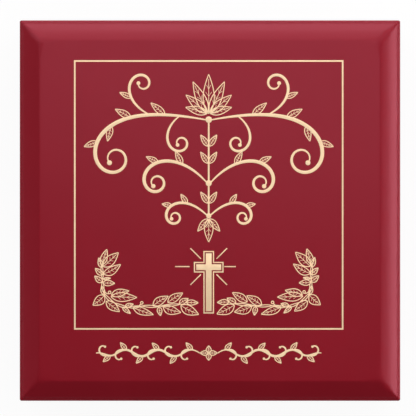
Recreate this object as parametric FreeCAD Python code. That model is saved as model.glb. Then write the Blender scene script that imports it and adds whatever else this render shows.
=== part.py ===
import FreeCAD, Part
import math
import os

from FreeCAD import Vector

# Hinged keepsake box: a lacquered wooden case with a moulded lid, two brass butt hinges let
# into the back edge, a velvet lining and a felt underside.
# Millimetres and degrees. +Z is up, the front is at -Y and the hinges are at the back, +Y.
# The origin is the middle of the underside, on the surface that the box stands on.

# Case
box_width = 178.0
box_depth = 178.0
wall_thickness = 12.0
base_wall_height = 43.0
lid_rail_height = 12.0
lid_panel_thickness = 13.4
corner_round = 1.0
edge_round = 0.6

# Moulded edge of the lid panel: a slightly convex bevel, down to a small step and a ledge
bevel_width = 9.4
bevel_inner_slope = 26.0
bevel_outer_slope = 32.0
ledge_width = 1.3
ledge_step = 0.2
ledge_round = 1.0

# Engraving on the lid: a square border line, and a cross with rays below its middle. The whole
# design sits a little left of the middle, and the left level ray is longer than the right one.
engraving_depth = 0.3
engraving_shift = -0.6
border_width = 125.7
border_height = 125.7
border_line = 0.8
border_shift = 7.3
cross_height = 29.2
cross_span = 13.9
cross_bar = 5.0
cross_outline = 0.6
cross_outline_gap = 0.5
cross_arm_drop = 7.6
cross_top_shift = -18.8
ray_line = 0.55
slanting_ray_start = 5.1
slanting_ray_end = 12.1
left_ray_start = 8.9
left_ray_end = 15.7
right_ray_start = 7.3
right_ray_end = 12.7
ray_rise = 0.3

# Bottom board and felt
bottom_thickness = 5.0
bottom_rebate = 5.0
board_clearance = 0.15
felt_thickness = 1.0
felt_inset = 2.0

# Velvet lining: a padded floor, four wall cards and a pad in the lid
lining_clearance = 0.3
wall_card_thickness = 2.0
wall_card_reveal = 2.0
wall_card_round = 0.8
floor_pad_thickness = 6.0
floor_pad_round = 2.5
lid_pad_thickness = 5.0
lid_pad_round = 2.5

# Soft dots on the front wall that the closed lid rests on
bumper_diameter = 6.0
bumper_thickness = 0.6
bumper_chamfer = 0.2
bumper_from_side = 30.0

# Butt hinges. The bevelled back edges meet and stop the lid when it is open.
hinge_length = 32.0
hinge_from_side = 37.0
hinge_knuckles = 5
knuckle_gap = 0.2
barrel_radius = 2.2
barrel_cover = 0.8
barrel_relief = 0.3
pin_radius = 0.9
pin_clearance = 0.05
pin_head_radius = 1.4
pin_head_length = 0.5
leaf_thickness = 1.2
leaf_from_inside = 1.0
mortise_clearance = 0.2
lid_open_angle = 95.0
stop_clearance = 0.3

# Countersunk hinge screws, with heads as deep as a leaf. Their hidden shanks have few faces.
screws_per_leaf = 2
screw_spacing = 18.0
screw_shank_radius = 1.0
screw_head_slope = 45.0
screw_cover = 3.0
screw_clearance = 0.05
screw_shank_sides = 8
screw_slot_width = 0.5
screw_slot_depth = 0.4

# Heights of the faces that pieces share
wall_bottom = felt_thickness
wall_top = wall_bottom + base_wall_height
board_top = wall_bottom + bottom_thickness
rail_bottom = wall_top + bumper_thickness
rail_top = rail_bottom + lid_rail_height
lid_top = rail_top + lid_panel_thickness

# Faces of the case in plan
half_width = box_width / 2
half_depth = box_depth / 2
inside_half_width = half_width - wall_thickness
inside_half_depth = half_depth - wall_thickness

# Hinge axis: between the two leaves, inside the back face by the barrel and its cover
axis_inset = barrel_radius + barrel_cover
axis_y = half_depth - axis_inset
axis_z = (wall_top + rail_bottom) / 2
leaf_width = wall_thickness - axis_inset - leaf_from_inside
hinge_half_spacing = half_width - hinge_from_side
knuckle_length = hinge_length / hinge_knuckles
screw_length = lid_rail_height - screw_cover
screw_flare = math.tan(math.radians(screw_head_slope))
screw_head_radius = screw_shank_radius + leaf_thickness * screw_flare
screw_y = axis_y - barrel_radius - (leaf_width - barrel_radius) / 2

# How far cutting tools run past the faces that they cut
overcut = 2.0
same = 1e-6

up = Vector(0, 0, 1)
along_x = Vector(1, 0, 0)
along_y = Vector(0, 1, 0)


def block(x0, x1, y0, y1, z0, z1):
    """A box between two corners."""
    return Part.makeBox(x1 - x0, y1 - y0, z1 - z0, Vector(x0, y0, z0))


def centred_block(width, depth, z0, z1, shift_y=0.0):
    """A box centred on X, and on a line shifted along Y."""
    return block(-width / 2, width / 2, shift_y - depth / 2, shift_y + depth / 2, z0, z1)


def edges_at_level(solid, level):
    """The edges that lie flat at one height."""
    return [
        edge
        for edge in solid.Edges
        if abs(edge.BoundBox.ZMin - level) < same and abs(edge.BoundBox.ZMax - level) < same
    ]


def upright_edges(solid):
    """The straight edges that run along Z."""
    return [
        edge
        for edge in solid.Edges
        if edge.BoundBox.XLength < same and edge.BoundBox.YLength < same
    ]


def case_prism(z0, z1):
    """The outline of the case between two heights, with its rounded corners."""
    prism = centred_block(box_width, box_depth, z0, z1)
    return prism.makeFillet(corner_round, upright_edges(prism))


def inside_prism(z0, z1):
    """The space between the walls."""
    return centred_block(2 * inside_half_width, 2 * inside_half_depth, z0, z1)


def hinge_groove():
    """The V that the bevelled back edges leave around the hinge axis."""
    half_angle = math.radians(lid_open_angle / 2)
    apex_y = axis_y - stop_clearance / 2 / math.sin(half_angle)
    outer_y = half_depth + overcut
    half_opening = (outer_y - apex_y) * math.tan(half_angle)
    start_x = -half_width - overcut
    corners = [
        Vector(start_x, apex_y, axis_z),
        Vector(start_x, outer_y, axis_z + half_opening),
        Vector(start_x, outer_y, axis_z - half_opening),
    ]
    triangle = Part.Face(Part.makePolygon(corners + corners[:1]))
    return triangle.extrude(along_x * (box_width + 2 * overcut))


def mitre_wedge(side, z0, z1):
    """The share of the case that one mitred side takes, cut at 45 degrees from each corner."""
    reach = wall_thickness + overcut
    front = [
        Vector(-half_width - overcut, -half_depth - overcut, z0),
        Vector(half_width + overcut, -half_depth - overcut, z0),
        Vector(half_width - reach, -half_depth + reach, z0),
        Vector(-half_width + reach, -half_depth + reach, z0),
    ]
    left = [
        Vector(-half_width - overcut, -half_depth - overcut, z0),
        Vector(-half_width + reach, -half_depth + reach, z0),
        Vector(-half_width + reach, half_depth - reach, z0),
        Vector(-half_width - overcut, half_depth + overcut, z0),
    ]
    outline = {
        "front": front,
        "back": [Vector(p.x, -p.y, p.z) for p in front],
        "left": left,
        "right": [Vector(-p.x, p.y, p.z) for p in left],
    }[side]
    return Part.Face(Part.makePolygon(outline + outline[:1])).extrude(up * (z1 - z0))


def hinge_centres():
    """The middle of each hinge along X."""
    return {"left": -hinge_half_spacing, "right": hinge_half_spacing}


def along_axis(centre, start, end, radius):
    """A cylinder on the hinge axis, from start to end as measured from a hinge's middle."""
    return Part.makeCylinder(radius, end - start, Vector(centre + start, axis_y, axis_z), along_x)


def screw_places(centre):
    """Where the screws of one leaf stand along X."""
    first = centre - screw_spacing * (screws_per_leaf - 1) / 2
    return [first + screw_spacing * i for i in range(screws_per_leaf)]


def hinge_mortises(face_z, into):
    """What is cut from an edge for the hinges: leaf pockets, barrel reliefs and pilot holes.

    into is -1 for the base, whose leaves lie below face_z, and 1 for the lid.
    """
    half_pocket = hinge_length / 2 + mortise_clearance
    half_relief = hinge_length / 2 + pin_head_length + mortise_clearance
    pocket_ends = sorted((face_z + into * leaf_thickness, face_z - into * overcut))
    cuts = []
    for centre in hinge_centres().values():
        pocket = block(
            centre - half_pocket,
            centre + half_pocket,
            axis_y - leaf_width - mortise_clearance,
            axis_y,
            *pocket_ends,
        )
        relief = along_axis(centre, -half_relief, half_relief, barrel_radius + barrel_relief)
        cuts += [pocket, relief]
        cuts += [pilot_hole(x, face_z, into) for x in screw_places(centre)]
    return cuts


def pilot_hole(x, face_z, into):
    """The hole that one screw's shank is driven into."""
    hole = shank_prism(screw_shank_radius + screw_clearance, 0, screw_length + screw_clearance)
    return placed_in_edge(hole, x, face_z, into)


def shank_prism(radius, z0, z1):
    """An upright prism with a screw shank's few sides."""
    turns = [2 * math.pi * side / screw_shank_sides for side in range(screw_shank_sides)]
    corners = [Vector(radius * math.cos(turn), radius * math.sin(turn), z0) for turn in turns]
    return Part.Face(Part.makePolygon(corners + corners[:1])).extrude(up * (z1 - z0))


def placed_in_edge(tool, x, face_z, into):
    """A shape that was made upright from the origin, set into an edge at a screw's place."""
    placed = tool.copy()
    if into < 0:
        placed.rotate(Vector(0, 0, 0), along_x, 180)
    placed.translate(Vector(x, screw_y, face_z))
    return placed


def base_frame():
    """The four base walls as glued up: bottom rebate, bevelled back edge and hinge mortises."""
    frame = case_prism(wall_bottom, wall_top)
    frame = frame.makeFillet(edge_round, edges_at_level(frame, wall_bottom))
    frame = frame.makeFillet(edge_round, edges_at_level(frame, wall_top))
    rebate = centred_block(
        2 * (inside_half_width + bottom_rebate),
        2 * (inside_half_depth + bottom_rebate),
        wall_bottom - overcut,
        board_top,
    )
    return frame.cut(
        [inside_prism(wall_bottom - overcut, wall_top + overcut), rebate, hinge_groove()]
        + hinge_mortises(wall_top, -1)
    )


def lid_frame():
    """The four lid rails as glued up: bevelled back edge and hinge mortises."""
    frame = case_prism(rail_bottom, rail_top)
    frame = frame.makeFillet(edge_round, edges_at_level(frame, rail_bottom))
    return frame.cut(
        [inside_prism(rail_bottom - overcut, rail_top + overcut), hinge_groove()]
        + hinge_mortises(rail_bottom, 1)
    )


def mitred_sides(frame, z0, z1):
    """The four mitred members that a glued-up frame is made of."""
    sides = ("front", "back", "left", "right")
    return {side: frame.common(mitre_wedge(side, z0, z1)) for side in sides}


def crown_section(half_span, across):
    """The lid panel's cross section, with its moulded edges, as a face.

    across is the direction that the section spans.
    """
    inner = math.radians(bevel_inner_slope)
    outer = math.radians(bevel_outer_slope)
    middle = (inner + outer) / 2
    bevel_radius = (bevel_width - ledge_width) / (math.sin(outer) - math.sin(inner))
    bevel_foot_z = lid_top - bevel_radius * (math.cos(inner) - math.cos(outer))
    ledge_z = bevel_foot_z - ledge_step
    round_share = 1 - math.sqrt(0.5)

    # Distance in from the outer face, and height
    foot = (0.0, rail_top)
    round_low = (0.0, ledge_z - ledge_round)
    round_mid = (ledge_round * round_share, ledge_z - ledge_round * round_share)
    round_high = (ledge_round, ledge_z)
    step_low = (ledge_width, ledge_z)
    step_high = (ledge_width, bevel_foot_z)
    bevel_mid = (
        ledge_width + bevel_radius * (math.sin(outer) - math.sin(middle)),
        bevel_foot_z + bevel_radius * (math.cos(middle) - math.cos(outer)),
    )
    arris = (bevel_width, lid_top)

    def at(point, end):
        return across * (end * (half_span - point[0])) + up * point[1]

    edges = []
    for end in (-1, 1):
        edges.append(Part.LineSegment(at(foot, end), at(round_low, end)).toShape())
        edges.append(Part.Arc(at(round_low, end), at(round_mid, end), at(round_high, end)).toShape())
        edges.append(Part.LineSegment(at(round_high, end), at(step_low, end)).toShape())
        edges.append(Part.LineSegment(at(step_low, end), at(step_high, end)).toShape())
        edges.append(Part.Arc(at(step_high, end), at(bevel_mid, end), at(arris, end)).toShape())
    edges.append(Part.LineSegment(at(arris, -1), at(arris, 1)).toShape())
    edges.append(Part.LineSegment(at(foot, -1), at(foot, 1)).toShape())
    return Part.Face(Part.Wire(Part.__sortEdges__(edges)))


def engraved(width, depth, shift_y):
    """A block that is as deep as the engraving, for cutting from the top of the lid."""
    return centred_block(width, depth, lid_top - engraving_depth, lid_top + overcut, shift_y)


def border_engraving():
    """The square line round the lid's design."""
    inner = engraved(border_width - 2 * border_line, border_height - 2 * border_line, border_shift)
    return engraved(border_width, border_height, border_shift).cut(inner)


def cross_shape(inset):
    """The cross, drawn in by an inset on every side."""
    upright = engraved(
        cross_bar - 2 * inset,
        cross_height - 2 * inset,
        cross_top_shift - cross_height / 2,
    )
    arms = engraved(
        cross_span - 2 * inset,
        cross_bar - 2 * inset,
        cross_top_shift - cross_arm_drop,
    )
    return upright.fuse(arms)


def cross_engraving():
    """A solid cross inside an outline, with six rays round the crossing."""
    outline = cross_shape(0.0).cut(cross_shape(cross_outline))
    filled = cross_shape(cross_outline + cross_outline_gap)
    rays = [ray(0, right_ray_start, right_ray_end), ray(180, left_ray_start, left_ray_end)]
    rays += [ray(turn, slanting_ray_start, slanting_ray_end) for turn in (45, 135, 225, 315)]
    return [outline, filled] + rays


def ray(turn, start, end):
    """One ray, between two distances from a point just over the crossing, turned about it."""
    line = block(
        start,
        end,
        -ray_line / 2,
        ray_line / 2,
        lid_top - engraving_depth,
        lid_top + overcut,
    )
    line.rotate(Vector(0, 0, 0), up, turn)
    line.translate(along_y * (cross_top_shift - cross_arm_drop + ray_rise))
    return line


def lid_panel():
    """The lid's top board: the two crowned sections crossed, so that the bevels meet in mitres."""
    long_way = crown_section(half_depth, along_y)
    long_way.translate(along_x * -half_width)
    wide_way = crown_section(half_width, along_x)
    wide_way.translate(along_y * -half_depth)
    board = long_way.extrude(along_x * box_width).common(wide_way.extrude(along_y * box_depth))
    board = board.common(case_prism(rail_top, lid_top))
    engraving = [border_engraving()] + cross_engraving()
    for cut in engraving:
        cut.translate(along_x * engraving_shift)
    return board.cut(engraving).removeSplitter()


def bottom_panel():
    """The board that sits in the walls' bottom rebate."""
    return centred_block(
        2 * (inside_half_width + bottom_rebate - board_clearance),
        2 * (inside_half_depth + bottom_rebate - board_clearance),
        wall_bottom,
        board_top,
    )


def base_felt():
    """The felt under the box, which it stands on."""
    sheet = centred_block(box_width - 2 * felt_inset, box_depth - 2 * felt_inset, 0, felt_thickness)
    return sheet.makeFillet(corner_round, upright_edges(sheet))


def padded_board(half_x, half_y, z0, z1, soft_face, softness):
    """A velvet-covered pad whose edges are rounded over on one face."""
    pad = centred_block(2 * half_x, 2 * half_y, z0, z1)
    return pad.makeFillet(softness, edges_at_level(pad, soft_face))


def floor_pad():
    """The padded floor, between the wall cards."""
    inset = wall_card_thickness + 2 * lining_clearance
    top = board_top + floor_pad_thickness
    return padded_board(
        inside_half_width - inset,
        inside_half_depth - inset,
        board_top,
        top,
        top,
        floor_pad_round,
    )


def lid_pad():
    """The padded panel under the lid, between the rails."""
    low = rail_top - lid_pad_thickness
    return padded_board(
        inside_half_width - lining_clearance,
        inside_half_depth - lining_clearance,
        low,
        rail_top,
        low,
        lid_pad_round,
    )


def wall_cards():
    """The velvet-covered cards that line the four walls and stand on the bottom board."""
    top = wall_top - wall_card_reveal
    outer_x = inside_half_width - lining_clearance
    outer_y = inside_half_depth - lining_clearance
    inner_x = outer_x - wall_card_thickness
    inner_y = outer_y - wall_card_thickness
    end_y = inner_y - lining_clearance
    places = {
        "front": (-outer_x, outer_x, -outer_y, -inner_y),
        "back": (-outer_x, outer_x, inner_y, outer_y),
        "left": (-outer_x, -inner_x, -end_y, end_y),
        "right": (inner_x, outer_x, -end_y, end_y),
    }
    cards = {}
    for side, place in places.items():
        card = block(*place, board_top, top)
        longest = max(edge.Length for edge in edges_at_level(card, top))
        rolled = [edge for edge in edges_at_level(card, top) if edge.Length > longest - same]
        cards[side] = card.makeFillet(wall_card_round, rolled)
    return cards


def lid_bumpers():
    """The two soft dots on the front wall's top edge."""
    dots = []
    for end in (-1, 1):
        place = Vector(end * (half_width - bumper_from_side), -half_depth + wall_thickness / 2, wall_top)
        dot = Part.makeCylinder(bumper_diameter / 2, bumper_thickness, place, up)
        dots.append(dot.makeChamfer(bumper_chamfer, edges_at_level(dot, rail_bottom)))
    return Part.makeCompound(dots)


def hinge_leaf(centre, face_z, into):
    """One leaf with its share of the knuckles: the base leaf has the first, third and fifth."""
    plate_ends = sorted((face_z, face_z + into * leaf_thickness))
    half_length = hinge_length / 2
    leaf = block(
        centre - half_length,
        centre + half_length,
        axis_y - leaf_width,
        axis_y,
        *plate_ends,
    )
    first_own = 0 if into < 0 else 1
    for knuckle in range(hinge_knuckles):
        start = -half_length + knuckle * knuckle_length
        end = start + knuckle_length
        if knuckle % 2 == first_own:
            before = knuckle_gap / 2 if knuckle else 0.0
            after = knuckle_gap / 2 if knuckle < hinge_knuckles - 1 else 0.0
            leaf = leaf.fuse(along_axis(centre, start + before, end - after, barrel_radius))
        else:
            before = knuckle_gap / 2 if knuckle else overcut
            after = knuckle_gap / 2 if knuckle < hinge_knuckles - 1 else overcut
            space = along_axis(centre, start - before, end + after, barrel_radius + knuckle_gap)
            leaf = leaf.cut(space)
    bore = along_axis(centre, -half_length - overcut, half_length + overcut, pin_radius + pin_clearance)
    holes = [screw_hole(x, face_z, into) for x in screw_places(centre)]
    return leaf.cut([bore] + holes).removeSplitter()


def screw_hole(x, face_z, into):
    """The countersunk hole for one screw in a leaf."""
    mouth_radius = screw_head_radius + screw_clearance
    past_leaf = screw_shank_radius / 2
    far_radius = screw_shank_radius + screw_clearance - past_leaf * screw_flare
    place = Vector(x, screw_y, face_z)
    return Part.makeCone(mouth_radius, far_radius, leaf_thickness + past_leaf, place, up * into)


def hinge_pin(centre):
    """The pin through one hinge's knuckles, with a head peened over each end."""
    half_length = hinge_length / 2
    pin = along_axis(centre, -half_length, half_length, pin_radius)
    for start, end in (
        (-half_length - pin_head_length, -half_length),
        (half_length, half_length + pin_head_length),
    ):
        pin = pin.fuse(along_axis(centre, start, end, pin_head_radius))
    return pin.removeSplitter()


def hinge_screws(face_z, into):
    """The slotted countersunk screws of both leaves that lie in one edge."""
    head = Part.makeCone(screw_head_radius, screw_shank_radius, leaf_thickness)
    slot = centred_block(3 * screw_head_radius, screw_slot_width, -overcut, screw_slot_depth)
    shank = shank_prism(screw_shank_radius, screw_slot_depth, screw_length)
    screw = head.cut(slot).fuse(shank).removeSplitter()
    return Part.makeCompound(
        [
            placed_in_edge(screw, x, face_z, into)
            for centre in hinge_centres().values()
            for x in screw_places(centre)
        ]
    )


def all_pieces():
    """Every piece of the box, by name."""
    pieces = {
        "lid_panel": lid_panel(),
        "bottom_panel": bottom_panel(),
        "base_felt": base_felt(),
        "floor_pad": floor_pad(),
        "lid_pad": lid_pad(),
        "lid_bumpers": lid_bumpers(),
        "base_hinge_screws": hinge_screws(wall_top, -1),
        "lid_hinge_screws": hinge_screws(rail_bottom, 1),
    }
    for side, wall in mitred_sides(base_frame(), wall_bottom, wall_top).items():
        pieces[f"{side}_wall"] = wall
    for side, rail in mitred_sides(lid_frame(), rail_bottom, rail_top).items():
        pieces[f"lid_{side}_rail"] = rail
    for side, card in wall_cards().items():
        pieces[f"{side}_lining"] = card
    for side, centre in hinge_centres().items():
        pieces[f"{side}_hinge_base_leaf"] = hinge_leaf(centre, wall_top, -1)
        pieces[f"{side}_hinge_lid_leaf"] = hinge_leaf(centre, rail_bottom, 1)
        pieces[f"{side}_hinge_pin"] = hinge_pin(centre)
    return pieces


def main():
    os.makedirs("parts", exist_ok=True)
    for name, piece in all_pieces().items():
        if not piece.isValid():
            raise ValueError(f"{name} is not a valid solid")
        piece.exportStep(f"parts/{name}.step")
        print(f"{name}: {len(piece.Solids)} solid(s), {piece.Volume:.1f} mm3")


main()
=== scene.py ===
"""The looks of a keepsake box: red lacquer, gilt engraving, brass hinges and a velvet lining.

Metres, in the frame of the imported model: +Z is up, the front is at -Y and the hinges are at +Y.
"""

import math

import bmesh
import bpy
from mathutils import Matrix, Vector, noise


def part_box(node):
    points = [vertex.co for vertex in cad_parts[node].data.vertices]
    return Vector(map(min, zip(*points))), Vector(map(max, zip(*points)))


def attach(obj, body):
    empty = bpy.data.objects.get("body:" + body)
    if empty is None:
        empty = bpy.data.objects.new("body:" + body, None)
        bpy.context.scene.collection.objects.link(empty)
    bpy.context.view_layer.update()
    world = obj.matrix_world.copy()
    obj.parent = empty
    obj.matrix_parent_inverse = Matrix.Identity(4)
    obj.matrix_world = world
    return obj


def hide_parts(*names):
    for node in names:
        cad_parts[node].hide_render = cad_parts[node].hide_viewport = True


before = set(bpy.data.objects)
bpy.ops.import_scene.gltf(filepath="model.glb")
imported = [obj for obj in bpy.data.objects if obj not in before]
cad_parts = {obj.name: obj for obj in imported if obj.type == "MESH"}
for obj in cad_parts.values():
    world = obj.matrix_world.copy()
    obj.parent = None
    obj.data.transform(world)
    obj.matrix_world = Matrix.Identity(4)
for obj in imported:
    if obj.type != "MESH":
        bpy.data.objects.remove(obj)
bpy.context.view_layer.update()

MM = 0.001

# How near an edge has to be to count as being at a level
TOUCH = MM / 100

# The photo's frame, where the middle of the lid lies in it, in pixels, and the camera's height
PHOTO_PIXELS = 416
LID_MIDDLE_PIXEL = (210.0, 210.6)
MM_A_PIXEL = 0.4679
CAMERA_RISE = 1.6

# The top of the lid, and the level at which its outline is widest
LID_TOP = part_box("lid_panel")[1].z
OUTLINE_LEVEL = LID_TOP - 5.7 * MM

# Where and how far the lacquer softens the lid's arrises, and the hips between its bevels: above a
# level, from a square outwards, and less near the outer edge
SOFT_LEVEL = LID_TOP - 8.0 * MM
SOFT_SQUARE = 75.5 * MM
SOFT_EDGE = 88.0 * MM
SOFT_ARRIS = 1.5 * MM
SOFT_HIP = 4.6 * MM
HIP_REACH = 9.0 * MM

# The lacquer turns from gloss to satin between two slants: 0 is seen squarely, 1 is seen along it
GLOSS_SLANT = 0.25
SATIN_SLANT = 0.62
SATIN_ROUGHNESS = 0.45

# Engraving in the lid, in millimetres from the middle of the design, which lies left of the lid's
DESIGN_SHIFT = -0.6
GROOVE_DEPTH = 0.3
GILT_DEPTH = 0.27
GILT_TOP = LID_TOP - (GROOVE_DEPTH - GILT_DEPTH) * MM
GILT_EDGE = 0.04
GILT_GAP = 0.02
BORDER_SIZE = 125.7
BORDER_LINE = 0.8
BORDER_SHIFT = 7.3
CROSS_TOP = -18.8
CROSS_HEIGHT = 29.2
CROSS_SPAN = 13.9
CROSS_BAR = 5.0
CROSS_ARM_DROP = 7.6
CROSS_OUTLINE = 0.6
CROSS_OUTLINE_GAP = 0.5
RAY_LINE = 0.55
SLANTING_RAY = (5.1, 12.1)
LEFT_RAY = (8.9, 15.7)
RIGHT_RAY = (7.3, 12.7)
RAY_RISE = 0.3

# Gilt lines that lie in the lacquer: how flat they are, and the widths of a leaf's lines
LINE_FLATNESS = 0.1
LEAF_OUTLINE = 0.42
LEAF_RIB = 0.26
LEAF_VEIN = 0.17

# Left leaf spray, in millimetres: each leaf's foot x and y, its tip x and y, and how far its left
# and right sides bow out, seen from its foot
SPRAY_LEAVES = [
    (-49.9, -25.4, -47.5, -18.0, 1.5, 1.5),
    (-49.1, -26.2, -42.1, -19.6, 2.2, 2.2),
    (-49.2, -29.5, -41.1, -25.1, 1.2, 2.4),
    (-49.8, -26.6, -51.3, -22.0, 1.1, 1.0),
    (-49.4, -29.9, -52.9, -26.9, 1.3, 1.0),
    (-49.5, -33.3, -53.2, -30.5, 1.4, 1.0),
    (-49.2, -32.0, -45.7, -31.5, 0.6, 0.4),
    (-49.4, -33.8, -43.8, -33.9, 1.4, 1.2),
    (-48.8, -39.3, -49.9, -35.1, 1.0, 0.8),
    (-45.4, -39.3, -37.2, -37.4, 1.8, 1.6),
    (-45.6, -40.1, -33.5, -40.5, 2.0, 2.1),
    (-48.7, -39.5, -54.0, -44.1, 2.5, 1.7),
    (-47.8, -42.3, -41.6, -47.1, 1.8, 1.9),
    (-40.2, -45.0, -36.5, -48.0, 0.9, 0.9),
    (-39.0, -44.6, -35.1, -43.6, 0.9, 0.8),
    (-35.3, -45.2, -25.8, -48.5, 1.4, 1.9),
    (-26.0, -44.4, -18.9, -39.9, 2.1, 1.5),
    (-23.2, -44.9, -22.5, -49.0, 1.1, 1.1),
    (-19.1, -42.8, -12.1, -38.4, 1.9, 1.6),
    (-21.3, -44.7, -13.0, -47.5, 1.4, 2.5),
    (-13.7, -43.4, -9.5, -41.0, 1.3, 1.1),
    (-10.4, -42.9, -4.9, -43.0, 1.3, 1.1),
    (-13.0, -44.2, -4.7, -48.4, 1.8, 2.5),
]
SPRAY_STEM = [
    (-50.0, -25.2),
    (-49.6, -30.0),
    (-49.5, -34.0),
    (-48.9, -38.0),
    (-46.6, -41.2),
    (-42.8, -43.6),
    (-38.6, -45.0),
    (-34.6, -45.0),
    (-30.6, -44.5),
    (-25.2, -44.7),
    (-19.6, -44.3),
    (-13.2, -43.6),
]
STEM_LINE = 0.4
STEM_TWIST = 0.5
STEM_TWISTS = 7

# The right spray mirrors the left one, a little narrower, further left and higher
RIGHT_SPRAY_SHARE = 0.98
RIGHT_SPRAY_SHIFT = (-0.8, 0.2)

# The spray's two berries: each one's middle and the foot of its stalk
SPRAY_BERRIES = [(-46.2, -38.1, -48.8, -37.2), (-31.2, -43.0, -32.6, -44.6)]
BERRY_RADIUS = 0.6
BERRY_LINE = 0.42

# Scrolls start and end in a line of this width
SCROLL_THIN = 0.55

# Running vine, in millimetres: its level, its start and end each way from the middle, the length of
# its wave, how far it sways and the last stretch in which it comes to rest
VINE_LEVEL = -66.4
VINE_START = 4.2
VINE_END = 52.5
VINE_WAVE = 15.4
VINE_SWAY = 1.5
VINE_CALM = 8
VINE_STEPS = 96
VINE_CURLS = 6

# Velvet pads: how much smaller they are cut, and how the cloth is blown up
PAD_CUT_IN = 0.9 * MM
PAD_CUT_SHARE = 0.72
PAD_WEAVE = 2.2 * MM
PAD_PRESSURE = 4.0
PAD_STEPS = 20
PAD_MOST_SWELL = 2.6 * MM

# Velvet wall cards: how round their tops are rolled, how deep and wide their dents are, and how many
# cuts they get along and up
CARD_ROLL = 0.8 * MM
CARD_DENT = 0.12 * MM
CARD_DENT_SPACING = 9 * MM
CARD_CUTS_ALONG = 60
CARD_CUTS_UP = 14

# The felt's rounded corners, its soft edge, and how far and how finely its cut wanders
FELT_CORNER = 1.0 * MM
FELT_EDGE = 0.3 * MM
FELT_RAGGED = 0.12 * MM
FELT_RAG_SPACING = 4 * MM
FELT_CUTS = 40

# How far the bumper dots are rounded over
BUMPER_DOME = 0.4 * MM

# The studio: the floor's size, how much of its own white it shows, and the sky's plain light
FLOOR_SIZE = 14.0
FLOOR_GLOW = 0.93
SKY_LIGHT = (0.31, 0.31, 0.31, 1)


def leave_editing():
    """Object mode, with nothing selected."""
    if bpy.context.mode != "OBJECT":
        bpy.ops.object.mode_set(mode="OBJECT")
    bpy.ops.object.select_all(action="DESELECT")


def choose(piece):
    """Makes one piece the only one that operators act on."""
    leave_editing()
    piece.select_set(True)
    bpy.context.view_layer.objects.active = piece


def settle(piece):
    """Puts a piece's place, turn and scale into its mesh."""
    choose(piece)
    bpy.ops.object.transform_apply(location=True, rotation=True, scale=True)
    return piece


def start_plate(name, width, depth, x, y, z):
    """A level rectangle, centred at a place."""
    leave_editing()
    bpy.ops.mesh.primitive_plane_add(size=1, location=(x, y, z))
    plate = bpy.context.object
    plate.name = name
    plate.scale = (width, depth, 1)
    return settle(plate)


def start_block(name, low, high):
    """A block between two corners."""
    leave_editing()
    bpy.ops.mesh.primitive_cube_add(size=1, location=(low + high) / 2)
    block = bpy.context.object
    block.name = name
    block.scale = high - low
    return settle(block)


def open_up(piece, kind):
    """Edit mode on one piece, for its EDGE or FACE parts."""
    choose(piece)
    bpy.ops.object.mode_set(mode="EDIT")
    bpy.ops.mesh.select_mode(type=kind)


def pick_edges(piece, wanted):
    """In edit mode, selects the edges that pass a test, and nothing else."""
    open_up(piece, "EDGE")
    bpy.ops.mesh.select_all(action="DESELECT")
    mesh = bmesh.from_edit_mesh(piece.data)
    for edge in mesh.edges:
        edge.select_set(bool(wanted(edge)))
    mesh.select_flush_mode()
    bmesh.update_edit_mesh(piece.data)


def apply_modifier(piece, kind, **settings):
    """Adds a modifier, sets it and applies it."""
    choose(piece)
    modifier = piece.modifiers.new(kind.lower(), kind)
    for name, value in settings.items():
        setattr(modifier, name, value)
    bpy.ops.object.modifier_apply(modifier=modifier.name)


def smooth(piece, degrees=35):
    """Smooth shading, with the edges sharper than an angle kept."""
    choose(piece)
    bpy.ops.object.shade_smooth_by_angle(angle=math.radians(degrees))
    return piece


def join(name, pieces):
    """Several pieces as one."""
    choose(pieces[0])
    for piece in pieces:
        piece.select_set(True)
    bpy.ops.object.join()
    joined = bpy.context.object
    joined.name = name
    return joined


def dress(piece, finish):
    """Gives a piece its one finish."""
    piece.data.materials.clear()
    piece.data.materials.append(finish)
    return piece


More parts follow.
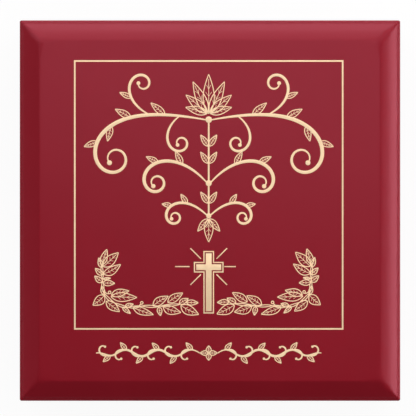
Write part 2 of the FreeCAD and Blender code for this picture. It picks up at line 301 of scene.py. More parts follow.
class Recipe:
    """Adds and joins the nodes of one finish."""

    def __init__(self, name):
        self.finish = bpy.data.materials.new(name)
        self.finish.use_nodes = True
        self.tree = self.finish.node_tree
        self.shader = self.tree.nodes["Principled BSDF"]
        self.place = self.add("ShaderNodeTexCoord").outputs["Object"]

    def add(self, kind, sockets=None, **settings):
        """A node, with its settings and the plain values of its sockets."""
        node = self.tree.nodes.new(kind)
        for name, value in settings.items():
            setattr(node, name, value)
        for name, value in (sockets or {}).items():
            node.inputs[name].default_value = value
        return node

    def join(self, output, socket):
        """Joins an output to a socket."""
        self.tree.links.new(output, socket)

    def set(self, **sockets):
        """Plain values on the shader's own sockets, with underscores for spaces."""
        for name, value in sockets.items():
            self.shader.inputs[name.replace("_", " ")].default_value = value

    def cloud(self, scale, detail=3.0, stretch=(1, 1, 1)):
        """A noise, of a scale in a metre, that a stretch can draw out into streaks."""
        mapping = self.add("ShaderNodeMapping", {"Scale": stretch})
        cloud = self.add(
            "ShaderNodeTexNoise",
            {"Scale": scale, "Detail": detail, "Roughness": 0.55},
        )
        self.join(self.place, mapping.inputs["Vector"])
        self.join(mapping.outputs["Vector"], cloud.inputs["Vector"])
        return cloud.outputs["Fac"]

    def blend(self, share, dark, light, low=0.3, high=0.7):
        """A colour between two, as a share goes from low to high."""
        ramp = self.add("ShaderNodeValToRGB")
        first, last = ramp.color_ramp.elements
        first.position = low
        first.color = (*dark, 1)
        last.position = high
        last.color = (*light, 1)
        self.join(share, ramp.inputs["Fac"])
        return ramp.outputs["Color"]

    def span(self, share, low, high):
        """A number between two, as a share goes from 0.3 to 0.7."""
        span = self.add(
            "ShaderNodeMapRange",
            {"From Min": 0.3, "From Max": 0.7, "To Min": low, "To Max": high},
        )
        self.join(share, span.inputs["Value"])
        return span.outputs["Result"]

    def colour(self, output):
        """Joins an output to the shader's colour."""
        self.join(output, self.shader.inputs["Base Color"])

    def gloss(self, output):
        """Joins an output to the shader's roughness."""
        self.join(output, self.shader.inputs["Roughness"])

    def math(self, operation, *values):
        """What a sum gives for outputs and plain numbers."""
        node = self.add("ShaderNodeMath", operation=operation)
        for value, socket in zip(values, node.inputs):
            if isinstance(value, float):
                socket.default_value = value
            else:
                self.join(value, socket)
        return node.outputs["Value"]

    def satin_at_a_slant(self, gloss):
        """A gloss that turns to satin where the surface is seen at a slant."""
        satin = self.add(
            "ShaderNodeMapRange",
            {"From Min": GLOSS_SLANT, "From Max": SATIN_SLANT, "To Max": SATIN_ROUGHNESS},
            interpolation_type="SMOOTHSTEP",
        )
        slant = self.add("ShaderNodeLayerWeight", {"Blend": 0.5})
        self.join(slant.outputs["Facing"], satin.inputs["Value"])
        return self.math("ADD", gloss, satin.outputs["Result"])

    def soften_arris(self):
        """Normals as if the lid's arrises were rounded, and the hips between its bevels more so."""
        parts = self.add("ShaderNodeSeparateXYZ")
        self.join(self.place, parts.inputs["Vector"])
        x_way = self.math("ABSOLUTE", parts.outputs["X"])
        y_way = self.math("ABSOLUTE", parts.outputs["Y"])
        out = self.math("MAXIMUM", x_way, y_way)
        outside = self.math("GREATER_THAN", out, SOFT_SQUARE)
        above = self.math("GREATER_THAN", parts.outputs["Z"], SOFT_LEVEL)
        band = self.math("MULTIPLY", outside, above)
        from_hip = self.math("ABSOLUTE", self.math("SUBTRACT", x_way, y_way))
        size = self.add(
            "ShaderNodeMapRange",
            {"From Max": HIP_REACH, "To Min": SOFT_HIP, "To Max": SOFT_ARRIS},
            interpolation_type="SMOOTHSTEP",
        )
        self.join(from_hip, size.inputs["Value"])
        room = self.math("MAXIMUM", self.math("SUBTRACT", SOFT_EDGE, out), SOFT_ARRIS)
        rounded = self.add("ShaderNodeBevel", samples=8)
        self.join(self.math("MINIMUM", size.outputs["Result"], room), rounded.inputs["Radius"])
        pick_normal = self.add("ShaderNodeMix", data_type="VECTOR")
        factor, _, _, _, plain, soft = pick_normal.inputs[:6]
        self.join(band, factor)
        self.join(self.add("ShaderNodeNewGeometry").outputs["Normal"], plain)
        self.join(rounded.outputs["Normal"], soft)
        return pick_normal.outputs[1]

    def relief(self, *layers, below=None):
        """Bumps, each a height with a strength and a depth in metres, one over another."""
        for height, strength, depth in layers:
            bump = self.add("ShaderNodeBump", {"Strength": strength, "Distance": depth})
            self.join(height, bump.inputs["Height"])
            if below:
                self.join(below, bump.inputs["Normal"])
            below = bump.outputs["Normal"]
        self.join(below, self.shader.inputs["Normal"])


def red_lacquer(name, soft=False):
    """Deep red lacquer, nearly smooth, whose gloss is tinted by the pigment under it."""
    recipe = Recipe(name)
    recipe.set(IOR=1.5, Specular_Tint=(1.0, 0.32, 0.43, 1))
    tone = recipe.cloud(30, 5)
    recipe.colour(recipe.blend(tone, (0.204, 0.0064, 0.0130), (0.214, 0.0070, 0.0142)))
    recipe.gloss(recipe.satin_at_a_slant(recipe.span(recipe.cloud(160, 3), 0.19, 0.23)))
    below = recipe.soften_arris() if soft else None
    recipe.relief((recipe.cloud(650, 2), 0.03, 0.05 * MM), below=below)
    return recipe.finish


def gilt():
    """Pale gilding in an engraved ground, with the fine lines of the cutter's passes."""
    recipe = Recipe("gilt_engraving")
    recipe.set(Metallic=0.25, IOR=1.45)
    passes = recipe.add(
        "ShaderNodeTexWave",
        {"Scale": 1250.0, "Distortion": 1.2, "Detail": 2.0, "Detail Scale": 1.5},
        bands_direction="Y",
    )
    recipe.join(recipe.place, passes.inputs["Vector"])
    mottle = recipe.cloud(900, 4)
    worn = recipe.math("MULTIPLY", recipe.math("ADD", passes.outputs["Fac"], mottle), 0.5)
    recipe.colour(recipe.blend(worn, (0.83, 0.575, 0.33), (0.96, 0.72, 0.463), 0.2, 0.6))
    recipe.gloss(recipe.span(mottle, 0.38, 0.55))
    recipe.relief((worn, 0.25, 0.05 * MM))
    return recipe.finish


def brass(name, drawn_along, scratch_scale, dark, light):
    """Brass between two tones, with fine scratches along one way."""
    recipe = Recipe(name)
    recipe.set(Metallic=1.0)
    scratches = recipe.cloud(scratch_scale, 4, drawn_along)
    tarnish = recipe.cloud(120, 5)
    recipe.colour(recipe.blend(tarnish, dark, light))
    recipe.gloss(recipe.span(scratches, 0.26, 0.36))
    recipe.relief((scratches, 0.06, 0.02 * MM))
    return recipe.finish


def black_velvet():
    """Short black pile that lies a little unevenly and shines at its edges."""
    recipe = Recipe("black_velvet")
    recipe.set(Sheen_Weight=0.55, Sheen_Roughness=0.35, Sheen_Tint=(0.42, 0.42, 0.47, 1), IOR=1.3)
    nap = recipe.cloud(26, 4)
    pile = recipe.cloud(3200, 3)
    recipe.colour(recipe.blend(nap, (0.0045, 0.0042, 0.0048), (0.013, 0.0125, 0.0140)))
    recipe.gloss(recipe.span(pile, 0.85, 1.0))
    recipe.relief((nap, 0.15, 0.5 * MM), (pile, 0.6, 0.25 * MM))
    return recipe.finish


def black_felt():
    """Pressed wool felt, matt and fibrous."""
    recipe = Recipe("black_felt")
    recipe.set(Sheen_Weight=0.25, Sheen_Roughness=0.6, Sheen_Tint=(0.5, 0.5, 0.5, 1), IOR=1.3)
    fibres = recipe.cloud(1500, 6, (1, 0.25, 1))
    crossing = recipe.cloud(1500, 6, (0.25, 1, 1))
    recipe.colour(recipe.blend(fibres, (0.008, 0.008, 0.009), (0.026, 0.025, 0.026)))
    recipe.gloss(recipe.span(crossing, 0.9, 1.0))
    recipe.relief((fibres, 0.7, 0.2 * MM), (crossing, 0.7, 0.2 * MM))
    return recipe.finish


def fibreboard():
    """Brown pressed board with pale flecks."""
    recipe = Recipe("bottom_board")
    flecks = recipe.cloud(700, 6)
    recipe.colour(recipe.blend(flecks, (0.19, 0.105, 0.05), (0.36, 0.22, 0.115)))
    recipe.gloss(recipe.span(recipe.cloud(90), 0.7, 0.85))
    recipe.relief((flecks, 0.2, 0.1 * MM))
    return recipe.finish


def clear_silicone():
    """Clear soft plastic, a little hazy."""
    recipe = Recipe("clear_bumper")
    recipe.set(IOR=1.41, Transmission_Weight=0.75)
    haze = recipe.cloud(600, 3)
    recipe.colour(recipe.blend(haze, (0.78, 0.80, 0.80), (0.92, 0.93, 0.93)))
    recipe.gloss(recipe.span(haze, 0.2, 0.4))
    return recipe.finish


def lay_gilt(piece):
    """Turns a flat shape into a gilt layer with softened edges."""
    apply_modifier(piece, "SOLIDIFY", thickness=GILT_DEPTH * MM, offset=-1)
    apply_modifier(piece, "BEVEL", width=GILT_EDGE * MM, segments=2, limit_method="ANGLE")
    return smooth(piece)


def keep_rim(plate, width):
    """Cuts the middle out of a flat shape, and leaves a rim of one width."""
    open_up(plate, "FACE")
    bpy.ops.mesh.select_all(action="SELECT")
    bpy.ops.mesh.inset(thickness=width)
    bpy.ops.mesh.delete(type="FACE")


def border_inlay():
    """The square gilt line round the design."""
    size = (BORDER_SIZE - 2 * GILT_GAP) * MM
    line = start_plate("border_inlay", size, size, DESIGN_SHIFT * MM, BORDER_SHIFT * MM, GILT_TOP)
    keep_rim(line, (BORDER_LINE - 2 * GILT_GAP) * MM)
    return lay_gilt(line)


def cross_plate(name, inset):
    """A flat Latin cross, drawn in by an inset on every side."""
    middle = Vector((DESIGN_SHIFT, CROSS_TOP - CROSS_ARM_DROP)) * MM
    half_bar = CROSS_BAR / 2 - inset
    reaches = {
        (1, 0): CROSS_SPAN / 2 - inset - half_bar,
        (-1, 0): CROSS_SPAN / 2 - inset - half_bar,
        (0, 1): CROSS_ARM_DROP - inset - half_bar,
        (0, -1): CROSS_HEIGHT - CROSS_ARM_DROP - inset - half_bar,
    }
    plate = start_plate(name, 2 * half_bar * MM, 2 * half_bar * MM, middle.x, middle.y, GILT_TOP)
    for way, reach in reaches.items():
        end_place = middle + Vector(way) * half_bar * MM

        def at_end(edge):
            edge_middle = (edge.verts[0].co + edge.verts[1].co) / 2
            return (edge_middle.xy - end_place).length < GILT_GAP * MM

        pick_edges(plate, at_end)
        bpy.ops.mesh.extrude_region_move(
            TRANSFORM_OT_translate={"value": (way[0] * reach * MM, way[1] * reach * MM, 0)}
        )
    return plate


def cross_inlay():
    """The gilt cross: an outline round a filled cross."""
    outline = cross_plate("cross_outline", GILT_GAP)
    keep_rim(outline, (CROSS_OUTLINE - 2 * GILT_GAP) * MM)
    filled = cross_plate("cross_filled", CROSS_OUTLINE + CROSS_OUTLINE_GAP + GILT_GAP)
    return lay_gilt(join("cross_inlay", [outline, filled]))


def cross_rays():
    """The six rays round the crossing: two level ones and four slanting ones."""
    rays = []
    for turn in (0, 45, 135, 180, 225, 315):
        start, end = {0: RIGHT_RAY, 180: LEFT_RAY}.get(turn, SLANTING_RAY)
        length = end - start - 2 * GILT_GAP
        ray = start_plate("ray", length * MM, (RAY_LINE - 2 * GILT_GAP) * MM, 0, 0, 0)
        angle = math.radians(turn)
        middle = (start + end) / 2
        ray.rotation_euler.z = angle
        ray.location = (
            (DESIGN_SHIFT + middle * math.cos(angle)) * MM,
            (CROSS_TOP - CROSS_ARM_DROP + RAY_RISE + middle * math.sin(angle)) * MM,
            GILT_TOP,
        )
        rays.append(settle(ray))
    return lay_gilt(join("cross_rays", rays))


def bent(start, first_pull, last_pull, end, steps=14):
    """Points along a curve between two ends, bent by two pulls."""
    points = []
    for step in range(steps + 1):
        t = step / steps
        shares = ((1 - t) ** 3, 3 * t * (1 - t) ** 2, 3 * t * t * (1 - t), t**3)
        corners = (start, first_pull, last_pull, end)
        points.append(tuple(sum(s * c[axis] for s, c in zip(shares, corners)) for axis in (0, 1)))
    return points


def through(points, steps=6):
    """Points along a smooth line through all the given ones."""
    line = []
    for i in range(len(points) - 1):
        before, start = points[max(i - 1, 0)], points[i]
        end, after = points[i + 1], points[min(i + 2, len(points) - 1)]
        first = tuple(start[axis] + (end[axis] - before[axis]) / 6 for axis in (0, 1))
        last = tuple(end[axis] - (after[axis] - start[axis]) / 6 for axis in (0, 1))
        line += bent(start, first, last, end, steps)[:-1]
    return line + [points[-1]]


def even(points, width):
    """A line of one width."""
    return points, [width] * len(points)


def swelling(points, thin, thick):
    """A line that swells from thin ends to a thick middle."""
    last = len(points) - 1
    return points, [thick - (thick - thin) * (2 * i / last - 1) ** 2 for i in range(last + 1)]


def dot(x, y, radius):
    """A round spot, as a very short fat line."""
    points = [(x - radius * math.cos(i * math.pi / 8), y) for i in range(9)]
    return swelling(points, 0.0, 2 * radius)


def leaf(foot_x, foot_y, tip_x, tip_y, left, right):
    """The lines of a pointed leaf: two sides that bow out, a rib and pairs of veins."""
    foot = Vector((foot_x, foot_y))
    along = Vector((tip_x, tip_y)) - foot
    across = Vector((-along.y, along.x)).normalized()
    lean = (left - right) / 2

    def at(share, aside):
        return tuple(foot + along * share + across * aside)

    lines = []
    for bow in (left, -right):
        edge = bent(at(0, 0), at(0.28, 1.68 * bow), at(0.64, 0.96 * bow), at(1, 0))
        lines.append(even(edge, LEAF_OUTLINE))
    lines.append(even(bent(at(0, 0), at(0.3, lean), at(0.6, lean), at(0.88, 0), 8), LEAF_RIB))
    shares = (0.26, 0.44, 0.62) if along.length > 6 else (0.35, 0.6)
    for share in shares:
        swell = math.sin(math.pi * min(1, share + 0.14))
        rib_aside = lean * 3 * share * (1 - share)
        for bow in (left, -right):
            vein_end = at(share + 0.11, rib_aside + 0.58 * (bow - rib_aside) * swell)
            lines.append(even([at(share, rib_aside), vein_end], LEAF_VEIN))
    return lines


def mirrored(lines, share=1.0, shift=(0, 0)):
    """The same lines on the other side of the design's middle, narrowed and shifted if wanted."""
    right, up = shift
    return [([(right - x * share, up + y) for x, y in points], widths) for points, widths in lines]


def draw_gilt(name, lines):
    """Gilt lines let into the top of the lid, a little proud of it."""
    leave_editing()
    bpy.ops.curve.primitive_bezier_curve_add()
    drawing = bpy.context.object
    drawing.name = name
    drawing.data.splines.clear()
    for points, widths in lines:
        spline = drawing.data.splines.new("POLY")
        spline.points.add(len(points) - 1)
        for knot, (x, y), width in zip(spline.points, points, widths):
            knot.co = (x * MM, y * MM, 0, 1)
            knot.radius = width
    drawing.data.bevel_depth = MM / 2
    drawing.data.bevel_resolution = 1
    drawing.data.use_fill_caps = True
    bpy.ops.object.convert(target="MESH")
    drawn = bpy.context.object
    drawn.scale.z = LINE_FLATNESS
    drawn.location = (DESIGN_SHIFT * MM, 0, LID_TOP)
    return smooth(settle(drawn), 80)


def twisted(points, aside, twists):
    """Two strands that twist about a line, as the stem of a spray does."""
    last = len(points) - 1
    strands = ([], [])
    for i, point in enumerate(points):
        way = Vector(points[min(i + 1, last)]) - Vector(points[max(i - 1, 0)])
        across = Vector((-way.y, way.x)).normalized() * aside
        across *= math.sin(math.pi * twists * i / last)
        for strand, side in zip(strands, (1, -1)):
            strand.append(tuple(Vector(point) + across * side))
    return strands


def spray_lines():
    """The left leaf spray: leaves and two berries on a bent stem of two strands."""
    lines = []
    for place in SPRAY_LEAVES:
        lines += leaf(*place)
    for strand in twisted(through(SPRAY_STEM), STEM_TWIST, STEM_TWISTS):
        lines.append(even(strand, STEM_LINE))
    turns = [i * math.pi / 8 for i in range(17)]
    for x, y, foot_x, foot_y in SPRAY_BERRIES:
        ring = [(x + BERRY_RADIUS * math.cos(t), y + BERRY_RADIUS * math.sin(t)) for t in turns]
        lines.append(even(ring, BERRY_LINE))
        under = y - BERRY_RADIUS
        stalk = bent((foot_x, foot_y), (foot_x + 0.6, under), (x - 0.6, under - 0.3), (x, under), 8)
        lines.append(even(stalk, BERRY_LINE))
    return lines


def scroll(start, heading, length, first_curl, last_curl, ease):
    """Points of a line whose curl, in degrees a millimetre, grows from first to last along it."""
    x, y = start
    angle = math.radians(heading)
    count = round(length * 2)
    step = length / count
    points = [(x, y)]
    for i in range(count):
        curl = first_curl + (last_curl - first_curl) * ((i + 0.5) / count) ** ease
        angle += math.radians(curl) * step
        x += math.cos(angle) * step
        y += math.sin(angle) * step
        points.append((x, y))
    return points


def leaf_on(points, share, turn, length, width):
    """A leaf that springs from a line at a share of its length, turned from its way."""
    i = min(len(points) - 2, int(share * (len(points) - 1)))
    way = Vector(points[i + 1]) - Vector(points[i])
    angle = math.atan2(way.y, way.x) + math.radians(turn)
    x, y = points[i]
    tip_x, tip_y = x + math.cos(angle) * length, y + math.sin(angle) * length
    return leaf(x, y, tip_x, tip_y, width / 2, width / 2)


def volute(points, thick, eye, leaves=()):
    """A scroll's swelling line, the dot at its eye and the leaves on it."""
    lines = [swelling(points, SCROLL_THIN, thick), dot(*points[-1], eye)]
    for place in leaves:
        lines += leaf_on(points, *place)
    return lines


def fan(x, y, leaves):
    """Leaves from one foot, each turned from upright."""
    lines = []
    for turn, length, width in leaves:
        angle = math.radians(90 - turn)
        tip_x, tip_y = x + math.cos(angle) * length, y + math.sin(angle) * length
        lines += leaf(x, y, tip_x, tip_y, width / 2, width / 2)
    return lines


def both_sides(lines):
    """Lines with their mirror images."""
    return lines + mirrored(lines)


def scroll_ornament():
    """A leafy scroll ornament on a stem: a crown, great scrolls, two smaller tiers and a drop."""
    great = scroll((0.6, 42.2), 11, 100, -0.35, -17.0, 2.6)
    upper = scroll(great[54], 24, 40, 2.6, 27.0, 2.0)
    hanging = scroll(great[26], -34, 36, -3.6, -30.0, 2.0)
    middle = scroll((0.5, 12.6), 50, 64, -1.5, -24.0, 2.2)
    lower = scroll((0.4, -2.6), 46, 42, -2.0, -33.0, 2.0)
    right = fan(0.5, 45.4, [(25, 16.2, 4.6), (50, 13.2, 4.2), (75, 10.6, 3.6)])
    right += volute(
        great,
        1.8,
        1.15,
        [(0.20, 38, 8.6, 3.0), (0.36, 42, 8.2, 3.0), (0.46, -42, 7.4, 2.8), (0.56, 48, 6.6, 2.6)],
    )
    right += volute(upper, 1.3, 0.9, [(0.30, -42, 6.0, 2.2)])
    right += volute(hanging, 1.2, 0.85)
    right += volute(middle, 1.6, 1.0, [(0.24, 40, 6.8, 2.6), (0.42, 44, 6.2, 2.4)])
    right += volute(lower, 1.3, 0.85, [(0.28, 44, 5.2, 2.2), (0.46, 46, 4.6, 2.0)])
    for height in (30.0, 22.0, 3.4):
        right += fan(0.2, height, [(34, 6.4, 2.4)])
    right += fan(0.3, -3.8, [(140, 7.6, 2.8)])
    lines = both_sides(right)
    lines += fan(0, 45.2, [(0, 18.4, 5.2)]) + fan(0, -4.0, [(180, 10.6, 4.0)])
    lines.append(even([(0, 43.0), (0, -2.0)], 0.8))
    for height, radius in ((42.4, 1.5), (12.8, 1.4), (-2.4, 1.2)):
        lines.append(dot(0, height, radius))
    return draw_gilt("scroll_ornament", lines)


def running_vine():
    """A running vine each way from a small rosette, under the border."""
    vine = []
    for i in range(VINE_STEPS + 1):
        x = VINE_START + (VINE_END - VINE_START) * i / VINE_STEPS
        sway = VINE_SWAY * min(1, (VINE_END - x) / VINE_CALM)
        turn = (x - VINE_START) / VINE_WAVE * 2 * math.pi
        vine.append((x, VINE_LEVEL + sway * math.sin(turn)))
    right = [swelling(vine, 0.45, 1.1)]
    for i in range(VINE_CURLS):
        side = 1 if i % 2 else -1
        place = (i + 0.5) / (VINE_CURLS + 0.3)
        knot = vine[int(place * VINE_STEPS)]
        right += volute(scroll(knot, -14 * side, 10.5, 6 * side, 40 * side, 1.2), 0.8, 0.55)
        right += leaf_on(vine, place, -48 * side, 4.4, 2.0)
    right += fan(0, VINE_LEVEL, [(90, 4.0, 2.2)])
    lines = both_sides(right) + fan(0, VINE_LEVEL, [(0, 3.4, 2.4), (180, 3.4, 2.4)])
    return draw_gilt("running_vine", lines)


def plump(pad, face_up):
    """Blows a pad up as stuffed cloth, with its back held flat."""
    cut = [v.co.copy() for v in pad.data.vertices]
    levels = [place.z for place in cut]
    back_z = min(levels) if face_up else max(levels)
    at_back = [i for i, level in enumerate(levels) if abs(level - back_z) < PAD_WEAVE / 4]
    held = pad.vertex_groups.new(name="held_back")
    held.add(at_back, 1.0, "ADD")
    choose(pad)
    cloth = pad.modifiers.new("stuffing", "CLOTH")
    cloth.settings.use_pressure = True
    cloth.settings.uniform_pressure_force = PAD_PRESSURE
    cloth.settings.vertex_group_mass = held.name
    cloth.settings.effector_weights.gravity = 0
    for step in range(1, PAD_STEPS + 1):
        bpy.context.scene.frame_set(step)
    bpy.ops.object.modifier_apply(modifier=cloth.name)
    bpy.context.scene.frame_set(1)
    for vertex, start in zip(pad.data.vertices, cut):
        moved = vertex.co - start
        if moved.length > PAD_MOST_SWELL:
            vertex.co = start + moved * PAD_MOST_SWELL / moved.length


def fill_space(pad, low, high):
    """Scales a pad so that it just fills its space."""
    points = [v.co for v in pad.data.vertices]
    least = [min(p[axis] for p in points) for axis in range(3)]
    most = [max(p[axis] for p in points) for axis in range(3)]
    for point in points:
        for axis in range(3):
            share = (point[axis] - least[axis]) / (most[axis] - least[axis])
            point[axis] = low[axis] + share * (high[axis] - low[axis])


def velvet_pad(name, node, face_up):
    """A stuffed velvet pad in the space of its CAD solid."""
    low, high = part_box(node)
    cut_in = Vector((PAD_CUT_IN, PAD_CUT_IN, 0))
    thickness = (high.z - low.z) * PAD_CUT_SHARE
    start_low, start_high = low + cut_in, high - cut_in
    if face_up:
        start_high.z = low.z + thickness
    else:
        start_low.z = high.z - thickness
    pad = start_block(name, start_low, start_high)
    front_z = start_high.z if face_up else start_low.z

    def at_front(edge):
        return all(abs(v.co.z - front_z) < TOUCH for v in edge.verts)

    pick_edges(pad, at_front)
    bpy.ops.mesh.bevel(offset=thickness / 3, segments=4)
    apply_modifier(pad, "REMESH", mode="VOXEL", voxel_size=PAD_WEAVE)
    plump(pad, face_up)
    apply_modifier(pad, "SUBSURF", levels=1, render_levels=1)
    fill_space(pad, low, high)
    return smooth(pad, 60)


def velvet_card(side):
    """A wall card wrapped in velvet: rolled over at the top, with a soft uneven face."""
    low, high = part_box(f"{side}_lining")
    card = start_block(f"{side}_velvet", low, high)
    long_axis = 0 if high.x - low.x > high.y - low.y else 1

    def runs_along(edge, axis):
        way = edge.verts[1].co - edge.verts[0].co
        return abs(way[axis]) > 0.99 * way.length

    def at_top(edge):
        return runs_along(edge, long_axis) and edge.verts[0].co.z > high.z - TOUCH

    pick_edges(card, at_top)
    bpy.ops.mesh.bevel(offset=CARD_ROLL, segments=4)
    pick_edges(card, lambda edge: runs_along(edge, long_axis))
    bpy.ops.mesh.subdivide(number_cuts=CARD_CUTS_ALONG)
    pick_edges(card, lambda edge: runs_along(edge, 2))
    bpy.ops.mesh.subdivide(number_cuts=CARD_CUTS_UP)
    leave_editing()
    thin_axis = 1 - long_axis
    middle = (low[thin_axis] + high[thin_axis]) / 2
    for vertex in card.data.vertices:
        dent = CARD_DENT * (1 + noise.noise(vertex.co / CARD_DENT_SPACING))
        inward = 1 if vertex.co[thin_axis] < middle else -1
        vertex.co[thin_axis] += inward * dent
    return smooth(card, 60)


def felt_sheet():
    """The felt under the box: cut by hand, with soft edges."""
    low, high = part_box("base_felt")
    sheet = start_block("underside_felt", low, high)

    def upright(edge):
        return abs(edge.verts[0].co.z - edge.verts[1].co.z) > MM / 2

    def at_arris(edge):
        return len(edge.link_faces) == 2 and edge.calc_face_angle() > 1

    pick_edges(sheet, upright)
    bpy.ops.mesh.bevel(offset=FELT_CORNER, segments=4)
    pick_edges(sheet, lambda edge: not upright(edge))
    bpy.ops.mesh.subdivide(number_cuts=FELT_CUTS)
    pick_edges(sheet, at_arris)
    bpy.ops.mesh.bevel(offset=FELT_EDGE, segments=3)
    leave_editing()
    for vertex in sheet.data.vertices:
        spot = vertex.co / FELT_RAG_SPACING
        ragged = Vector((noise.noise(spot), noise.noise(spot + Vector((31, 7, 5))), 0))
        vertex.co -= FELT_RAGGED * ragged
    return smooth(sheet, 60)


def bumper_dots():
    """The two clear domes that the closed lid rests on."""
    low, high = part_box("lid_bumpers")
    radius = (high.y - low.y) / 2
    depth = high.z - low.z

    def at_rim(edge):
        return all(v.co.z > high.z - TOUCH for v in edge.verts)

    dots = []
    for x in (low.x + radius, high.x - radius):
        leave_editing()
        place = (x, low.y + radius, (low.z + high.z) / 2)
        bpy.ops.mesh.primitive_cylinder_add(vertices=40, radius=radius, depth=depth, location=place)
        dome = settle(bpy.context.object)
        pick_edges(dome, at_rim)
        bpy.ops.mesh.bevel(offset=BUMPER_DOME, segments=5)
        dots.append(dome)
    return smooth(join("bumper_dots", dots), 40)


def place_on(piece, body, finish):
    """Finishes a new piece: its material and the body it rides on."""
    dress(piece, finish)
    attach(piece, body)
    return piece


def dress_frame():
    """Better finishes on the CAD nodes that stay in sight."""
    lacquer = red_lacquer("red_lacquer")
    lid_lacquer = red_lacquer("lid_lacquer", soft=True)
    leaf_brass = brass("hinge_brass", (0.04, 1, 1), 1400, (0.76, 0.53, 0.22), (0.84, 0.61, 0.28))
    screw_brass = brass("screw_brass", (1, 1, 1), 2600, (0.92, 0.76, 0.47), (0.97, 0.84, 0.58))
    board = fibreboard()
    for name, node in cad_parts.items():
        if name == "lid_panel":
            dress(node, lid_lacquer)
        elif name.endswith("_wall") or name.endswith("_rail"):
            dress(node, lacquer)
        elif name.endswith("_leaf") or name.endswith("_pin"):
            dress(node, leaf_brass)
        elif name.endswith("_screws"):
            dress(node, screw_brass)
        elif name == "bottom_panel":
            dress(node, board)


def build_gilding():
    """Every gilt line on the lid."""
    gold = gilt()
    left = spray_lines()
    pieces = [
        border_inlay(),
        cross_inlay(),
        cross_rays(),
        draw_gilt("left_leaf_spray", left),
        draw_gilt("right_leaf_spray", mirrored(left, RIGHT_SPRAY_SHARE, RIGHT_SPRAY_SHIFT)),
        scroll_ornament(),
        running_vine(),
    ]
    for piece in pieces:
        place_on(piece, "lid", gold)


def build_lining():
    """Velvet pads and cards, the felt and the bumper dots."""
    velvet = black_velvet()
    floor_cushion = velvet_pad("floor_cushion", "floor_pad", True)
    lid_cushion = velvet_pad("lid_cushion", "lid_pad", False)
    cushions = ((floor_cushion, "base", "floor_pad"), (lid_cushion, "lid", "lid_pad"))
    for piece, body, node in cushions:
        place_on(piece, body, velvet)
        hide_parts(node)
    for side in ("front", "back", "left", "right"):
        card = place_on(velvet_card(side), "base", velvet)
        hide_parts(f"{side}_lining")
    felt = place_on(felt_sheet(), "base", black_felt())
    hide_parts("base_felt")
    dots = place_on(bumper_dots(), "base", clear_silicone())
    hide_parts("lid_bumpers")


def add_seen_rays(tree):
    """A number that is 1 for rays that show the surround: by sight, by gloss or through plastic."""
    rays = tree.nodes.new("ShaderNodeLightPath")
    seen = rays.outputs["Is Camera Ray"]
    for kind in ("Is Glossy Ray", "Is Transmission Ray"):
        either = tree.nodes.new("ShaderNodeMath")
        either.operation = "MAXIMUM"
        tree.links.new(seen, either.inputs[0])
        tree.links.new(rays.outputs[kind], either.inputs[1])
        seen = either.outputs["Value"]
    return seen


def lay_floor():
    """A plain white floor that keeps the box's shadow faintly."""
    floor = start_plate("floor", FLOOR_SIZE, FLOOR_SIZE, 0, 0, 0)
    finish = bpy.data.materials.new("white_floor")
    finish.use_nodes = True
    tree = finish.node_tree
    matt = tree.nodes["Principled BSDF"]
    matt.inputs["Base Color"].default_value = (0.86, 0.86, 0.86, 1)
    matt.inputs["Roughness"].default_value = 1.0
    matt.inputs["Specular IOR Level"].default_value = 0.0
    glow = tree.nodes.new("ShaderNodeEmission")
    share = tree.nodes.new("ShaderNodeMath")
    share.operation = "MULTIPLY"
    share.inputs[1].default_value = FLOOR_GLOW
    tree.links.new(add_seen_rays(tree), share.inputs[0])
    mix = tree.nodes.new("ShaderNodeMixShader")
    tree.links.new(share.outputs["Value"], mix.inputs["Fac"])
    tree.links.new(matt.outputs["BSDF"], mix.inputs[1])
    tree.links.new(glow.outputs["Emission"], mix.inputs[2])
    tree.links.new(mix.outputs["Shader"], tree.nodes["Material Output"].inputs["Surface"])
    dress(floor, finish)


def paint_sky():
    """Studio surround: seen white at the horizon and dim overhead, and giving little light."""
    world = bpy.data.worlds.new("studio")
    bpy.context.scene.world = world
    world.use_nodes = True
    tree = world.node_tree
    way = tree.nodes.new("ShaderNodeTexCoord")
    parts = tree.nodes.new("ShaderNodeSeparateXYZ")
    ramp = tree.nodes.new("ShaderNodeValToRGB")
    low, high = ramp.color_ramp.elements
    low.position = 0.1
    low.color = (1, 1, 1, 1)
    high.position = 0.25
    high.color = (0.08, 0.08, 0.08, 1)
    top = ramp.color_ramp.elements.new(1.0)
    top.color = (0.05, 0.05, 0.05, 1)
    tree.links.new(way.outputs["Generated"], parts.inputs["Vector"])
    tree.links.new(parts.outputs["Z"], ramp.inputs["Fac"])
    pick_ray = tree.nodes.new("ShaderNodeMix")
    pick_ray.data_type = "RGBA"
    tree.links.new(add_seen_rays(tree), pick_ray.inputs["Factor"])
    pick_ray.inputs["A"].default_value = SKY_LIGHT
    tree.links.new(ramp.outputs["Color"], pick_ray.inputs["B"])
    tree.links.new(pick_ray.outputs["Result"], tree.nodes["Background"].inputs["Color"])


def hang_panel(name, place, width, height, watts, aim=(0, 0, LID_TOP), turn=0):
    """A soft light panel, aimed at a point and turned about its own axis."""
    panel = bpy.data.lights.new(name, "AREA")
    panel.shape = "RECTANGLE"
    panel.size = width
    panel.size_y = height
    panel.energy = watts
    lamp = bpy.data.objects.new(name, panel)
    bpy.context.scene.collection.objects.link(lamp)
    lamp.location = place
    lamp.rotation_euler = (Vector(aim) - Vector(place)).to_track_quat("-Z", "Y").to_euler()
    lamp.rotation_euler.rotate_axis("Z", math.radians(turn))


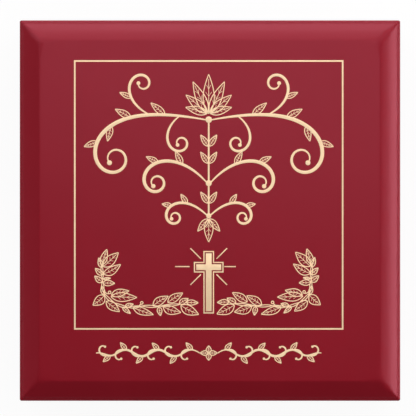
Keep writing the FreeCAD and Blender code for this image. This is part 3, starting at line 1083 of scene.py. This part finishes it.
def light_studio():
    """Large panels at the back for even light, and the ones that the lid's gloss shows."""
    paint_sky()
    hang_panel("back_left_panel", (-1.11, 0.87, 1.75), 1.4, 1.4, 11.0)
    hang_panel("back_right_panel", (0.83, 0.83, 1.95), 1.0, 1.0, 3.8)
    hang_panel("overhead_panel", (0.05, 0.445, 1.85), 0.7, 0.85, 3.74, (0.05, 0.445, 0), -10)
    hang_panel("upper_back_panel", (0, 0.9, 1.21), 0.6, 0.47, 1.4)
    hang_panel("high_back_panel", (0, 1.13, 0.843), 0.6, 0.39, 1.1)
    hang_panel("back_panel", (0.05, 1.69, 0.61), 1.1, 0.54, 7.8)
    hang_panel("high_left_panel", (-0.5, 1.07, 0.93), 0.4, 0.4, 1.26)
    hang_panel("high_right_panel", (0.9, 0.9, 1.03), 0.5, 0.4, 2.0)
    hang_panel("low_right_panel", (1.2, 1.2, 0.62), 0.7, 0.4, 3.5)
    hang_panel("upper_right_panel", (0.773, 0, 1.053), 0.6, 0.87, 0.95)
    hang_panel("right_panel", (0.86, 0, 0.315), 0.6, 0.26, 3.5)
    hang_panel("left_panel", (-0.87, 0, 0.49), 0.8, 0.4, 0.2)
    hang_panel("left_strip", (-1.0, 0, 0.24), 1.4, 0.25, 1.0)


def set_camera():
    """Straight above the lid, framed as the photo is."""
    camera = bpy.data.cameras.new("camera")
    width = PHOTO_PIXELS * MM_A_PIXEL * MM
    camera.sensor_width = 36.0
    camera.lens = camera.sensor_width * CAMERA_RISE / width
    camera.clip_start = 0.01
    camera.clip_end = 50.0
    eye = bpy.data.objects.new("camera", camera)
    bpy.context.scene.collection.objects.link(eye)
    half = PHOTO_PIXELS / 2
    eye.location = (
        (half - LID_MIDDLE_PIXEL[0]) * MM_A_PIXEL * MM,
        (LID_MIDDLE_PIXEL[1] - half) * MM_A_PIXEL * MM,
        OUTLINE_LEVEL + CAMERA_RISE,
    )
    bpy.context.scene.camera = eye


def corners(box):
    """The two corners of a box as plain lists."""
    return [list(corner) for corner in box]


dress_frame()
build_gilding()
build_lining()
lay_floor()
light_studio()
set_camera()
bpy.context.scene.view_settings.view_transform = "Standard"
